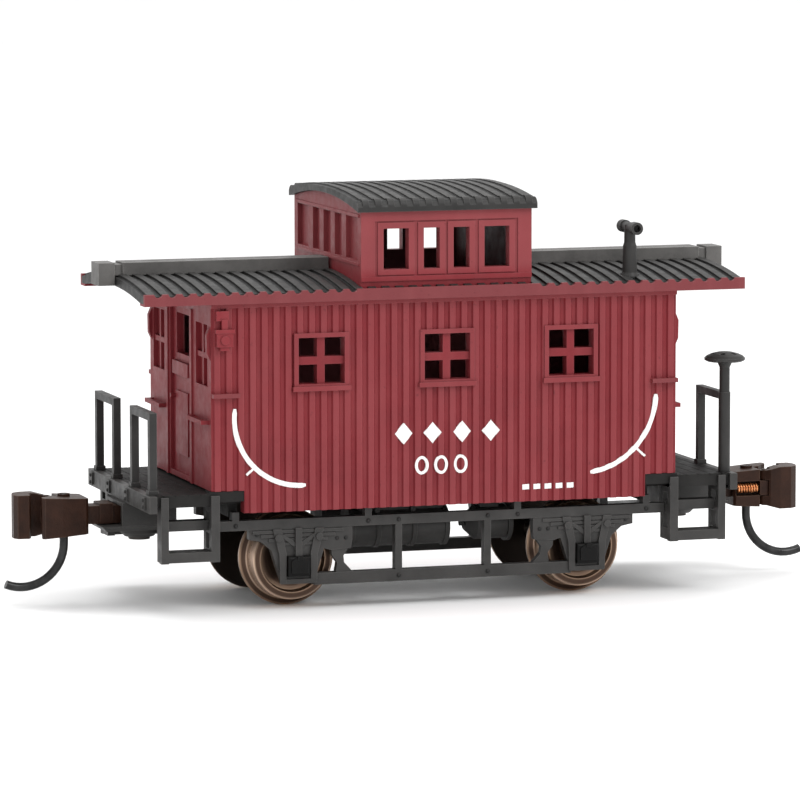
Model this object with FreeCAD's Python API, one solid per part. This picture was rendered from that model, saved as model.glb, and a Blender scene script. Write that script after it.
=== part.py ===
import FreeCAD, Part
import math
import os

# Four-wheel "bobber" caboose, 1:160, for 9 mm gauge track.
# X runs along the car, Y across it, Z up.  Heights in this file are measured
# from the top of the rail; write() lifts every piece by the flange height, so
# that the finished car stands on its wheel flanges at Z = 0.

V = FreeCAD.Vector
UP = V(0, 0, 1)

# ---- shared by all pieces --------------------------------------------------
root = 0.1        # how far a raised piece sinks into what carries it
gap = 0.02        # between neighbouring pieces
beyond = 30       # reach of cutters that go right through

# ---- wheels and track ------------------------------------------------------
wheelbase = 20.1
tread_radius = 2.7
flange_height = 0.55
back_to_back = 7.5
flange_thickness = 0.6
wheel_width = 1.95
axle_radius = 0.75
axle_boss_radius = 1.0
axle_boss_half = 1.6
journal_radius = 0.4
journal_end_gap = 0.1
running_clearance = 0.05

# ---- body shell ------------------------------------------------------------
body_length = 32.24
body_width = 15.2
wall = 0.8
board_pitch = 0.806
board_width = 0.56
board_chamfer = 0.09
board_depth = 0.14
skirt_z = 6.15
notch_z = 7.65
notch_length = 2.2
window_w = 3.75
window_h = 3.65
window_z = 16.03
window_spacing = 8.65
window_rim = 0.3
window_bar = 0.52
window_proud = 0.1
sill_proud = 0.14
sill_half_height = 0.16
grab_thickness = 0.28
side_grab_z = 13.8
side_grab_x = (14.3, 16.1)
end_grab_z = 12.0
end_grab_y = (3.7, 7.1)
end_window_y = (3.95, 6.75)
end_window_z = (14.45, 18.5)
end_window_depth = 0.35
end_bar_z = (16.25, 16.6)
end_bar_y = (5.2, 5.5)
end_bar_depth = 0.42
door_post_y = (2.75, 3.2)
door_post_proud = 0.12
door_sill = 0.35
door_top = 19.1
door_half_width = 2.45
door_depth = 0.25
door_window_half = 1.7
door_window_z = (15.9, 18.6)
door_ledge_half = 1.9
door_ledge_z = (14.5, 15.4)
door_panel_half = 1.5
door_panel_z = (9.2, 13.4)
door_knob_radius = 0.16
door_knob_place = (1.75, 13.0)
grab_reach = 0.55
lamp_bracket_y = 7.25
lamp_bracket_width = 0.45
top_band_height = 0.3

# ---- roof ------------------------------------------------------------------
roof_length = 41.5
roof_width = 16.7
roof_rise = 0.72
eave_z = 19.95
roof_edge_z = 20.56
roof_thickness = 0.6
roof_rib_pitch = 0.943
roof_rib_width = 0.5
roof_rib_depth = 0.16
fascia_thickness = 0.3
eave_ledge = 0.15
eave_ledge_inner = 7.2
scallop_lift = 0.08
board_walk_width = 1.9
board_walk_top = 22.2
board_walk_height = 0.85
board_walk_end = 21.9
board_walk_foot = 20.7
board_walk_strap = 0.5
board_walk_core = 0.8
board_walk_slit = 0.12

# ---- cupola ----------------------------------------------------------------
cupola_length = 11.8
cupola_width = 15.16
cupola_wall = 0.7
cupola_eave_z = 25.66
cupola_roof_length = 12.4
cupola_roof_width = 15.98
cupola_roof_rise = 0.8
cupola_eave_height = 0.32
cupola_eave_radius = 0.75
eave_turn = (0.24, 0.66)  # where the rounded eave's middle point lies, as shares of its size
cupola_knee_rise = 0.72
cupola_top_rise = 1.2
cupola_rib_pitch = 0.868
cupola_rib_half = 0.22
cupola_rib_depth = 0.1
cupola_side_windows = ((-4.35, -2.62), (-1.58, -0.48), (0.48, 1.58), (2.62, 4.35))
cupola_window_z = (21.87, 24.55)
cupola_frame_z = (21.5, 24.95)
cupola_frame_width = 0.4
cupola_rail_bottom = 25.05
cupola_corner_post = 0.95
cupola_base_z = (21.1, 21.42)
cupola_trim = 0.09
cupola_base_proud = 0.12
cupola_band_proud = 0.07
cupola_panel_depth = 0.32
cupola_end_panels = ((-6.9, -4.3), (-3.3, -1.75), (-0.82, 0.82), (1.75, 3.3), (4.3, 6.9))
cupola_panel_z = (22.45, 25.25)
cupola_end_bands = ((25.3, 25.5), (22.1, 22.3))

# ---- smokestack ------------------------------------------------------------
stack_place = (13.2, -6.55)
stack_top_z = 24.55
stack_foot_radius = 0.62
stack_peg_radius = 0.3
stack_cap_reach = 1.45
stack_cap_radius = 0.42
stack_rim = 0.65
stack_bore_radius = 0.26
stack_bore_start = 0.95
stack_peg_depth = 0.5

# ---- marker lamps ----------------------------------------------------------
lamp_x = (-15.95, -14.65)
lamp_depth = 0.45
lamp_body_z = (17.15, 18.1)
lamp_chimney_top = 18.95
lamp_bracket_top = 19.5
lamp_lens_radius = 0.3
lamp_lens_z = 17.6

# ---- underframe ------------------------------------------------------------
floor_top = 7.5
floor_bottom = 6.7
floor_gap = 0.03
sill_reach = 17.4
sill_half_width = 1.5
sill_drop = 0.55
corner_sill_start = 13.95
corner_sill_bottom = 6.95
weight_half_x = 13.4
weight_half_y = 5.6
weight_height = 1.8
weight_chamfer = 0.35
strap_pad = (0.3, 0.14)
platform_half_length = 19.9
end_beam_thickness = 0.5
end_beam_width = 16.1
end_beam_bottom = 6.4
rail_post = 0.5
rail_foot_lip = 0.08
rail_foot_height = 0.3
rail_top_z = 12.88
rail_post_x = 19.9
rail_posts_y = (2.34, 6.86)
short_rail_posts_y = (3.9, 6.86)
side_frame_y = 7.0
side_frame_thickness = 0.75
side_bar = (4.9, 5.55)
tie_bar = (1.1, 1.88)
transom_x = (5.2, 14.3)
transom_half = 0.3
transom_bottom = 5.75
frame_post_x = 3.1
frame_post_half = 0.23
frame_reach = 15.6
leaf_count = 4
leaf_reach = 3.1
leaf_step = 0.55
leaf_top_z = 4.62
leaf_pitch = 0.27
leaf_thickness = 0.2
journal_depth = 0.55
journal_box_half = 0.78
journal_box_depth = 0.38
journal_box_round = 0.18
journal_box_z = (1.75, 3.1)

# ---- platforms -------------------------------------------------------------
platform_half_width = 7.7
plank_pitch = 0.85
plank_gap = 0.06
plank_gap_count = 4
plank_gap_depth = 0.08
plank_first = 0.75
staff_place = (rail_post_x, -rail_posts_y[1])
staff_radius = 0.4
staff_top_z = 15.05
staff_head_radius = 0.55
spoke_hole_radius = 0.19
spoke_hole_place = 0.78
rim_radius = 1.16
spoke_count = 6
step_outer_x = (-19.6, -19.1)
step_inner_x = (-16.22, -15.65)
step_face_y = -7.95
step_depth = 1.95
step_shallow = 1.1
hanger_thickness = 0.55
hanger_z = (3.05, 7.4)
hanger_rear_z = (3.7, 6.68)
hanger_top_z = (6.3, 6.68)
hanger_top_reach = 1.6
lower_tread_z = (3.1, 3.75)
lower_tread_depth = 1.5
upper_tread_z = (5.05, 5.7)
upper_tread_start = 0.95
upper_stay_z = (4.9, 5.5)
lower_stay_z = (3.1, 3.9)

# ---- fittings below the floor ----------------------------------------------
tank_radius = 1.3
tank_x = (-5.6, 1.1)
tank_y = 3.4
tank_z = 4.3
tank_band = 0.3
tank_bands_x = (-5.7, -3.9, -1.4, 0.9)
tank_strap_half = 0.9
tank_web_x = (-4.8, 1.0)
tank_web_half = 0.6
cylinder_radius = 1.15
cylinder_place = (-3.6, 4.35)
cylinder_x = (3.2, 5.6)
cylinder_nose = (0.5, 0.7)
cylinder_lip = (0.3, 0.17)
push_rod_radius = 0.22
cylinder_hanger = (3.5, 4.8)

# ---- couplers --------------------------------------------------------------
coupler_z = 5.5
coupler_pivot_x = 19.0
head_height = 2.72
claw_height = 2.88
shank_height = 1.2
knuckle_pivot = (25.2, -0.95)
trip_wire = 0.58
trip_x = 24.15
trip_bend = 2.85
trip_top = 3.65
trip_sweep = 293
trip_head = 1.4
trip_boss_radius = 0.42
trip_boss_height = 1.43
coupler_box_back = 17.0
coupler_box_y = 2.15
coupler_box_front = 20.7
pocket_back = 17.45
pocket_half_width = 1.75
pocket_gap = 0.06
coupler_mouth_x = 22.0
coupler_lid = 0.35
lid_gap = 0.07
boss_radius = 1.25
boss_height = 0.92
lid_chamfer = 0.3
boss_chamfer = 0.25
screw_radius = 0.45
screw_head_radius = 0.72
screw_head_height = 0.2
screw_slot_depth = 0.1
screw_tip_z = 6.55
pin_radius = 0.26
pin_head = 0.06
knuckle_eye = 0.46
ear_half_height = 1.18
tongue_height = 1.0
shank_eye_radius = 1.1
shank_half_width = 0.75
collar_x = (21.0, 21.9)
collar_lip = 0.15
spring_x = (22.95, 24.6)
spring_y = -1.12
spring_radius = 0.34
spring_slot_half = 0.5


# ---- small building blocks -------------------------------------------------
def box(x, y, z):
    """A block between the two ends given for each direction."""
    low = V(min(x), min(y), min(z))
    size = [max(pair) - min(pair) for pair in (x, y, z)]
    return Part.makeBox(size[0], size[1], size[2], low)


def round_bar(radius, start, end):
    """A cylinder between two points."""
    start, end = V(*start), V(*end)
    return Part.makeCylinder(radius, (end - start).Length, start, end - start)


def plate(points, thickness, plane, offset):
    """A flat outline in plane xy, xz or yz, made solid along the third axis."""
    place = {"xy": lambda a, b: V(a, b, offset),
             "xz": lambda a, b: V(a, offset, b),
             "yz": lambda a, b: V(offset, a, b)}[plane]
    push = {"xy": V(0, 0, thickness), "xz": V(0, thickness, 0), "yz": V(thickness, 0, 0)}
    corners = [place(a, b) for a, b in points]
    return Part.Face(Part.makePolygon(corners + corners[:1])).extrude(push[plane])


def fuse(pieces):
    """One solid from overlapping or touching pieces."""
    whole = pieces[0].multiFuse(pieces[1:]) if len(pieces) > 1 else pieces[0]
    return whole.removeSplitter()


def cut(shape, tools):
    return shape.cut(Part.makeCompound(tools)) if tools else shape


def across_x(shape):
    """The mirror image at the other end of the car."""
    return shape.mirror(V(0, 0, 0), V(1, 0, 0))


def across_y(shape):
    """The mirror image on the other side of the car."""
    return shape.mirror(V(0, 0, 0), V(0, 1, 0))


def four_ways(shape):
    half = [shape, across_x(shape)]
    return half + [across_y(piece) for piece in half]


def turned(shape):
    """The same piece turned half a turn, for the other end of the car."""
    copy = shape.copy()
    copy.rotate(V(0, 0, 0), UP, 180)
    return copy


def crowned(half_width, edge_bottom, edge_top, rise, x):
    """A slab arched across the car, with parallel upper and lower faces."""
    low_l, low_r = V(x[0], -half_width, edge_bottom), V(x[0], half_width, edge_bottom)
    top_l, top_r = V(x[0], -half_width, edge_top), V(x[0], half_width, edge_top)
    low_mid, top_mid = V(x[0], 0, edge_bottom + rise), V(x[0], 0, edge_top + rise)
    outline = Part.Wire([Part.Arc(low_l, low_mid, low_r).toShape(), Part.makeLine(low_r, top_r),
                         Part.Arc(top_r, top_mid, top_l).toShape(), Part.makeLine(top_l, low_l)])
    return Part.Face(outline).extrude(V(x[1] - x[0], 0, 0))


def crown_fill(half_width, bottom, edge_top, rise, x):
    """A block with an arched top, as under a roof."""
    low_l, low_r = V(x[0], -half_width, bottom), V(x[0], half_width, bottom)
    top_l, top_r = V(x[0], -half_width, edge_top), V(x[0], half_width, edge_top)
    outline = Part.Wire([Part.makeLine(low_l, low_r), Part.makeLine(low_r, top_r),
                         Part.Arc(top_r, V(x[0], 0, edge_top + rise), top_l).toShape(),
                         Part.makeLine(top_l, low_l)])
    return Part.Face(outline).extrude(V(x[1] - x[0], 0, 0))


def crown_height(y, half_width, edge, rise):
    """Height of an arched surface at a distance y from the centre line."""
    radius = (half_width ** 2 + rise ** 2) / (2 * rise)
    return edge + rise - radius + math.sqrt(radius ** 2 - y ** 2)


def write(name, shape):
    """Lift a piece onto its flanges and write it as its own STEP file."""
    solid = shape.copy()
    solid.translate(V(0, 0, flange_height))
    if len(solid.Solids) == 1:
        solid = solid.Solids[0]
    solid.exportStep("parts/" + name + ".step")


# ---- body shell ------------------------------------------------------------
def wall_boards(half_x, y_face, z):
    """Upright boards standing proud of the near side wall."""
    count = int(round(2 * half_x / board_pitch))
    boards = []
    inside, outside = -y_face + root, -y_face - board_depth
    for i in range(count):
        centre = (i - (count - 1) / 2) * board_pitch
        left, right = centre - board_width / 2, centre + board_width / 2
        section = [(left, inside), (left, -y_face), (left + board_chamfer, outside),
                   (right - board_chamfer, outside), (right, -y_face), (right, inside)]
        boards.append(plate(section, z[1] - z[0], "xy", z[0]))
    return boards


def window_frame(centre_x):
    """Flat surround of one side window, with a sill, before its panes are cut."""
    face = body_width / 2
    proud = board_depth + window_proud
    left, right = centre_x - window_w / 2, centre_x + window_w / 2
    low, high = window_z - window_h / 2, window_z + window_h / 2
    surround = box((left, right), (-face - proud, -face + root), (low, high))
    sill = box((left - root, right + root), (-face - proud - sill_proud, -face + root),
               (low - sill_half_height, low + sill_half_height))
    return [surround, sill]


def window_recess(centre_x):
    """Space in front of the window bars, which sit back from the surround."""
    reach_x = window_w / 2 - window_rim
    reach_z = window_h / 2 - window_rim
    bar_face = body_width / 2 + gap
    return box((centre_x - reach_x, centre_x + reach_x), (-body_width, -bar_face),
               (window_z - reach_z, window_z + reach_z))


def window_panes(centre_x):
    """The four openings of one side window."""
    pane_w = (window_w - 2 * window_rim - window_bar) / 2
    pane_h = (window_h - 2 * window_rim - window_bar) / 2
    panes = []
    for side in (-1, 1):
        for level in (-1, 1):
            x = centre_x + side * (window_bar + pane_w) / 2
            z = window_z + level * (window_bar + pane_h) / 2
            panes.append(box((x - pane_w / 2, x + pane_w / 2), (-body_width, body_width),
                             (z - pane_h / 2, z + pane_h / 2)))
    return panes


def end_wall_details():
    """Raised and sunk detail of the -X end wall: returns what to add and to cut."""
    face = -body_length / 2
    add, away = [], []
    for side in (-1, 1):
        near, far = (side * y for y in end_window_y)
        bar_x = (face + root, face + end_bar_depth)
        away.append(box((face - root, face + end_window_depth), (near, far), end_window_z))
        add.append(box(bar_x, (near, far), end_bar_z))
        add.append(box(bar_x, [side * y for y in end_bar_y], end_window_z))
        add.append(box((face - door_post_proud, face + 2 * root), [side * y for y in door_post_y],
                       (notch_z, door_top + root)))
        grab_y = tuple(side * y for y in end_grab_y)
        grab_z = (end_grab_z, end_grab_z + grab_thickness)
        out = face - grab_reach
        add.append(box((out, out + grab_thickness), grab_y, grab_z))
        for end in grab_y:
            add.append(box((out, face + root), (end, end - side * grab_thickness), grab_z))
        section = [(face + root, 16.0), (face - 0.22, 16.7), (face - 0.24, 17.9), (face + root, 18.7)]
        add.append(plate(section, lamp_bracket_width, "xz", side * lamp_bracket_y - lamp_bracket_width / 2))
    door_y = (-door_half_width, door_half_width)
    away.append(box((face - root, face + door_depth), door_y, (notch_z + door_sill, door_top)))
    away.append(box((face - root, face + 2 * wall), (-door_window_half, door_window_half), door_window_z))
    behind = face + door_depth + root / 2
    knob_y, knob_z = door_knob_place
    add.append(box((face - gap, behind), (-door_ledge_half, door_ledge_half), door_ledge_z))
    add.append(box((face + root, behind), (-door_panel_half, door_panel_half), door_panel_z))
    add.append(round_bar(door_knob_radius, (face - 0.2, knob_y, knob_z), (behind, knob_y, knob_z)))
    return add, away


def side_grabs():
    """Level grab irons at the corners of the near side."""
    y = -body_width / 2
    z = (side_grab_z, side_grab_z + grab_thickness)
    pieces = []
    for end in (-1, 1):
        inner, outer = (end * x for x in side_grab_x)
        out = y - grab_reach
        pieces.append(box((outer, inner), (out, out + grab_thickness), z))
        for post in (outer, inner + end * grab_thickness):
            pieces.append(box((post, post - end * grab_thickness), (out, y + root), z))
    return pieces


def roof_rib_places():
    """Where the roof ribs lie along the car."""
    count = int(round(roof_length / roof_rib_pitch))
    return [(i - (count - 1) / 2) * roof_rib_pitch for i in range(count)]


def eave_rail():
    """Near side eave: a ledge and a fascia, scalloped between the ribs and plain below the cupola."""
    reach = roof_length / 2
    ledge = box((-reach, reach), (-roof_width / 2, -eave_ledge_inner), (eave_z, eave_z + eave_ledge))
    fascia = box((-reach, reach), (-roof_width / 2, -roof_width / 2 + fascia_thickness),
                 (eave_z, roof_edge_z + roof_rib_depth))
    radius = (roof_rib_pitch - roof_rib_width) / 2 + scallop_lift
    scallops = []
    middles = [x + roof_rib_pitch / 2 for x in roof_rib_places()[:-1]]
    for middle in (x for x in middles if abs(x) > cupola_length / 2 + radius):
        level = roof_edge_z + roof_rib_depth + scallop_lift
        scallops.append(round_bar(radius, (middle, -roof_width / 2 - root, level),
                                  (middle, -roof_width / 2 + fascia_thickness + root, level)))
    return fuse([ledge, fascia]).cut(Part.makeCompound(scallops))


def under_roof(half_width):
    """Height at the side, and rise, of walls that meet the underside of the roof."""
    underside = roof_edge_z - roof_thickness - gap / 2
    side_top = crown_height(half_width, roof_width / 2 - fascia_thickness, underside, roof_rise)
    return side_top, underside + roof_rise - side_top


def body_shell():
    half_x, half_y = body_length / 2, body_width / 2
    side_top, rise = under_roof(half_y)
    outer = crown_fill(half_y, skirt_z, side_top, rise, (-half_x, half_x))
    hollow = box((-half_x + wall, half_x - wall), (-half_y + wall, half_y - wall), (0, beyond))
    shell = outer.cut(hollow)
    details = wall_boards(half_x, half_y, (skirt_z, eave_z + root / 2)) + side_grabs()
    details.append(box((-half_x, half_x), (-half_y - 0.2, -half_y + root),
                       (eave_z - top_band_height, eave_z + root)))
    for centre in (-window_spacing, 0, window_spacing):
        details += window_frame(centre)
    side = details + [eave_rail()]
    ends_add, ends_cut = end_wall_details()
    add = side + [across_y(piece) for piece in side]
    openings = []
    for centre in (-window_spacing, 0, window_spacing):
        recess = window_recess(centre)
        openings += window_panes(centre) + [recess, across_y(recess)]
    seat_x = cupola_length / 2 + 0.05
    cupola_seat = box((-seat_x, seat_x), (-half_y - gap / 2, half_y + gap / 2), (side_top, beyond))
    notch = box((half_x - notch_length, half_x + 1), (-half_y - 1, half_y + 1), (0, notch_z))
    openings += [cupola_seat, notch, across_x(notch)]
    openings += ends_cut + [across_x(piece) for piece in ends_cut]
    shell = cut(fuse([shell] + add), openings)
    return fuse([shell] + ends_add + [across_x(piece) for piece in ends_add])


# ---- roof ------------------------------------------------------------------
def roof():
    half = roof_width / 2 - fascia_thickness
    reach = roof_length / 2
    slab_bottom = roof_edge_z - roof_thickness
    slab = crowned(half, slab_bottom, roof_edge_z, roof_rise, (-reach, reach))
    ribs = []
    for x in roof_rib_places():
        ribs.append(crowned(half, roof_edge_z - root, roof_edge_z + roof_rib_depth, roof_rise,
                            (x - roof_rib_width / 2, x + roof_rib_width / 2)))
    walk_seat = box((-reach - 1, reach + 1), (-board_walk_width / 2, board_walk_width / 2),
                    (board_walk_top - board_walk_height, beyond))
    hole = box((-cupola_length / 2 - 0.05, cupola_length / 2 + 0.05),
               (-cupola_width / 2 - 0.03, cupola_width / 2 + 0.03), (0, beyond))
    ledges = [box((-reach - 1, reach + 1), (side * (half + 1), side * (eave_ledge_inner - 0.05)),
                  (0, eave_z + eave_ledge + gap / 2))
              for side in (-1, 1)]
    stack_hole = round_bar(stack_peg_radius, stack_place + (0,), stack_place + (beyond,))
    seat_foot = stack_place + (stack_foot_z(),)
    stack_seat = round_bar(stack_foot_radius + gap / 2, seat_foot, stack_place + (beyond,))
    whole = fuse([slab] + ribs)
    return cut(whole, [hole, stack_hole, stack_seat, walk_seat] + ledges)


def running_board():
    """The walk along the -X half of the ridge, with its end step past the roof."""
    half = board_walk_width / 2
    bottom = board_walk_top - board_walk_height
    inner = -cupola_roof_length / 2 + root
    end = -roof_length / 2
    pieces = []
    for row in (-1, 1):
        pieces.append(box((end + board_walk_strap, inner), (row * board_walk_slit / 2, row * half),
                          (bottom, board_walk_top)))
    pieces.append(box((end - root, inner), (-board_walk_core, board_walk_core),
                      (bottom, board_walk_top - board_walk_slit)))
    pieces.append(box((-board_walk_end, end - 2 * gap), (-half, half), (board_walk_foot, board_walk_top)))
    return fuse(pieces)


# ---- cupola ----------------------------------------------------------------
def cupola_shell():
    half_x, half_y = cupola_length / 2, cupola_width / 2
    side_top = crown_height(half_y, cupola_roof_width / 2, cupola_eave_z, cupola_roof_rise)
    rise = cupola_eave_z + cupola_roof_rise - side_top
    bottom = under_roof(body_width / 2)[0] + gap
    outer = crown_fill(half_y, bottom, side_top, rise, (-half_x, half_x))
    hollow = box((-half_x + cupola_wall, half_x - cupola_wall),
                 (-half_y + cupola_wall, half_y - cupola_wall), (0, beyond))
    shell = outer.cut(hollow)
    band_reach = half_y - 0.3
    away, add = [], []
    for left, right in cupola_side_windows:
        away.append(box((left, right), (-beyond, beyond), cupola_window_z))
    for side in (-1, 1):
        y = side * half_y
        trim_y = (y - side * root, y + side * cupola_trim)
        add.append(box((-half_x, half_x), (y - side * root, y + side * cupola_base_proud), cupola_base_z))
        add.append(box((-half_x, half_x), trim_y, (cupola_rail_bottom, side_top - gap / 2)))
        for left, right in cupola_side_windows:
            frame_x = (left - cupola_frame_width, right + cupola_frame_width)
            add.append(box(frame_x, trim_y, cupola_frame_z))
        for end in (-1, 1):
            post_x = (end * half_x, end * (half_x - cupola_corner_post))
            add.append(box(post_x, trim_y, (cupola_base_z[0], side_top - gap / 2)))
        x = side * half_x
        for left, right in cupola_end_panels:
            away.append(box((x + side * root, x - side * cupola_panel_depth), (left, right), cupola_panel_z))
        for band in cupola_end_bands:
            add.append(box((x - side * root, x + side * cupola_band_proud), (-band_reach, band_reach), band))
    return cut(fuse([shell] + add), away)


def cupola_roof_stretch(x, lift):
    """A length of the cupola roof's section, its upper face raised by lift."""
    half_y, edge = cupola_roof_width / 2, cupola_eave_z + gap
    foot_l, foot_r = V(x[0], -half_y, edge), V(x[0], half_y, edge)
    eave_top = edge + cupola_eave_height
    eave_l, eave_r = V(x[0], -half_y, eave_top), V(x[0], half_y, eave_top)
    knee_y, knee_z = half_y - cupola_eave_radius, edge + cupola_knee_rise + lift
    knee_l, knee_r = V(x[0], -knee_y, knee_z), V(x[0], knee_y, knee_z)
    turn_y = half_y - cupola_eave_radius * eave_turn[0] + lift / 2
    turn_z = eave_top + (cupola_knee_rise - cupola_eave_height) * eave_turn[1] + lift
    crown = V(x[0], 0, edge + cupola_top_rise + lift)
    outline = Part.Wire([Part.makeLine(foot_r, eave_r),
                         Part.Arc(eave_r, V(x[0], turn_y, turn_z), knee_r).toShape(),
                         Part.Arc(knee_r, crown, knee_l).toShape(),
                         Part.Arc(knee_l, V(x[0], -turn_y, turn_z), eave_l).toShape(),
                         Part.makeLine(eave_l, foot_l),
                         Part.Arc(foot_l, V(x[0], 0, edge + cupola_roof_rise), foot_r).toShape()])
    return Part.Face(outline).extrude(V(x[1] - x[0], 0, 0))


def cupola_roof():
    """Low arched slab with rounded eaves and ribs across."""
    half_x = cupola_roof_length / 2
    count = int(cupola_roof_length / cupola_rib_pitch)
    pieces = [cupola_roof_stretch((-half_x, half_x), 0)]
    for i in range(count):
        x = (i - (count - 1) / 2) * cupola_rib_pitch
        pieces.append(cupola_roof_stretch((x - cupola_rib_half, x + cupola_rib_half), cupola_rib_depth))
    return fuse(pieces)


# ---- smokestack ------------------------------------------------------------
def stack_foot_z():
    """Height of the seat that the roof has for the stack's foot."""
    outer_edge = stack_place[1] - stack_foot_radius
    return crown_height(outer_edge, roof_width / 2 - fascia_thickness, roof_edge_z, roof_rise) + gap


def smokestack():
    """Flared pipe with a cross tube on top, pegged into the roof."""
    x, y = stack_place
    foot = stack_foot_z()
    steps = [(0, 0), (stack_foot_radius, 0), (stack_foot_radius, 0.15), (0.5, 0.4), (0.46, 2.15),
             (0.38, 2.4), (0.37, 3.6), (0, 3.6)]
    profile = [V(x + r, y, foot + rise) for r, rise in steps]
    shaft = Part.Face(Part.makePolygon(profile + profile[:1])).revolve(V(x, y, 0), UP, 360)
    level = stack_top_z - stack_cap_radius
    tube_radius = stack_cap_radius - 0.08
    cap = round_bar(tube_radius, (x, y - stack_cap_reach, level), (x, y + stack_cap_reach, level))
    rims = [round_bar(stack_cap_radius, (x, y + side * (stack_cap_reach - stack_rim), level),
                      (x, y + side * stack_cap_reach, level)) for side in (-1, 1)]
    bores = [round_bar(stack_bore_radius, (x, y + side * stack_bore_start, level), (x, y + side * 2, level))
             for side in (-1, 1)]
    peg = round_bar(stack_peg_radius - gap, (x, y, foot - stack_peg_depth), (x, y, foot + root))
    return cut(fuse([shaft, cap, peg] + rims), bores)


# ---- underframe ------------------------------------------------------------
def underframe():
    inner = body_width / 2 - wall - floor_gap
    half_body = body_length / 2
    pieces = [box((-half_body, half_body), (-inner, inner), (floor_bottom, floor_top)),
              box((-sill_reach, sill_reach), (-sill_half_width, sill_half_width),
                  (floor_bottom - sill_drop, floor_bottom + root))]
    edge = platform_half_width
    platform = box((-half_body + 0.2, -platform_half_length), (-edge, edge), (floor_bottom, floor_top))
    sill = box((-corner_sill_start, -half_body - root), (-edge, -inner + 0.3),
               (corner_sill_bottom, notch_z - gap))
    pieces += [platform, across_x(platform)] + four_ways(sill)
    frame_inner = side_frame_y - side_frame_thickness
    for x in transom_x:
        beam = box((x - transom_half, x + transom_half), (-frame_inner, frame_inner),
                   (transom_bottom, floor_bottom + root))
        pieces += [beam, across_x(beam)]
    planks = []
    for i in range(plank_gap_count):
        x = -half_body - plank_first - i * plank_pitch
        planks.append(box((x - plank_gap / 2, x + plank_gap / 2), (-edge - root, edge + root),
                          (floor_top - plank_gap_depth, floor_top + 1)))
    return cut(fuse(pieces), planks + [across_x(plank) for plank in planks])


def ballast_weight():
    """The steel bar that gives the light shell its weight."""
    bar = box((-weight_half_x, weight_half_x), (-weight_half_y, weight_half_y),
              (floor_top, floor_top + weight_height))
    return bar.makeChamfer(weight_chamfer, bar.Edges)


def end_beam():
    """The beam across the -X platform edge, with its strap pads."""
    x = -platform_half_length
    half = end_beam_width / 2
    beam = box((x - end_beam_thickness, x), (-half, half), (end_beam_bottom, floor_top))
    pad_half, pad_depth = strap_pad
    pads = []
    for y in rail_posts_y:
        for side in (-1, 1):
            face = x - end_beam_thickness
            pads.append(box((face - pad_depth, face + root), (side * y - pad_half, side * y + pad_half),
                            (end_beam_bottom + 0.15, floor_top - 0.12)))
    return fuse([beam] + pads)


def end_railing(posts=rail_posts_y):
    """The near loop of railing on the -X platform: its posts and a top bar."""
    x = -rail_post_x
    half = rail_post / 2
    foot = half + rail_foot_lip
    pieces = []
    for y in posts:
        pieces.append(box((x - half, x + half), (-y - half, -y + half), (floor_top, rail_top_z)))
        pieces.append(box((x - foot, x + foot), (-y - foot, -y + foot),
                          (floor_top, floor_top + rail_foot_height)))
    outer = posts[-1] + half if len(posts) > 1 else rail_posts_y[1] - staff_radius
    bar_y = (-outer, -posts[0] + half)
    pieces.append(box((x - half, x + half), bar_y, (rail_top_z - rail_post, rail_top_z)))
    return fuse(pieces)


def brake_staff():
    """Upright shaft in place of the outer near post of the +X platform."""
    x, y = staff_place
    upper = staff_radius - 0.05
    steps = [(0, floor_top), (staff_radius, floor_top), (staff_radius, rail_top_z), (upper, rail_top_z),
             (upper, staff_top_z - 0.5), (staff_head_radius, staff_top_z - 0.05),
             (staff_head_radius, staff_top_z), (0, staff_top_z)]
    corners = [V(x + r, y, z) for r, z in steps]
    return Part.Face(Part.makePolygon(corners + corners[:1])).revolve(V(x, y, 0), UP, 360)


def brake_wheel():
    """A dished hand wheel on top of the staff: rim, hub and the spokes left between holes."""
    x, y = staff_place
    steps = [(0, 0), (0.5, 0), (0.8, 0.08), (rim_radius, -0.1), (rim_radius + 0.2, 0.0),
             (rim_radius + 0.22, 0.14), (rim_radius + 0.05, 0.3), (0.9, 0.44), (0.45, 0.55), (0, 0.58)]
    corners = [V(x + r, y, staff_top_z + rise) for r, rise in steps]
    dish = Part.Face(Part.makePolygon(corners + corners[:1])).revolve(V(x, y, 0), UP, 360)
    holes = []
    for i in range(spoke_count):
        out = x + spoke_hole_place
        hole = round_bar(spoke_hole_radius, (out, y, staff_top_z - 1), (out, y, staff_top_z + 1))
        hole.rotate(V(x, y, 0), UP, 360 / spoke_count * i)
        holes.append(hole)
    return cut(dish, holes)


def step_unit(outer_depth=step_depth):
    """The near step of the -X platform: two hangers and two treads."""
    face, back = step_face_y, step_face_y + step_depth
    inner_x = (step_outer_x[1] - root, step_inner_x[1])
    pieces = [box(step_outer_x, (face, face + min(lower_tread_depth, outer_depth)), lower_tread_z),
              box(inner_x, (face, face + lower_tread_depth), lower_tread_z),
              box(inner_x, (face + upper_tread_start, back), upper_tread_z)]
    for hanger, depth in ((step_outer_x, outer_depth), (step_inner_x, step_depth)):
        rear = face + depth
        pieces.append(box(hanger, (face, face + hanger_thickness), hanger_z))
        pieces.append(box(hanger, (face, rear), upper_stay_z))
        pieces.append(box(hanger, (face, min(rear, face + hanger_top_reach)), hanger_top_z))
        pieces.append(box(hanger, (rear - hanger_thickness, rear), hanger_rear_z))
        pieces.append(box(hanger, (face, rear), lower_stay_z))
    edge = platform_half_width + gap
    seat = box((-platform_half_length, -13), (-edge, edge), (floor_bottom - gap / 2, 9))
    return fuse(pieces).cut(seat)


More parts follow.
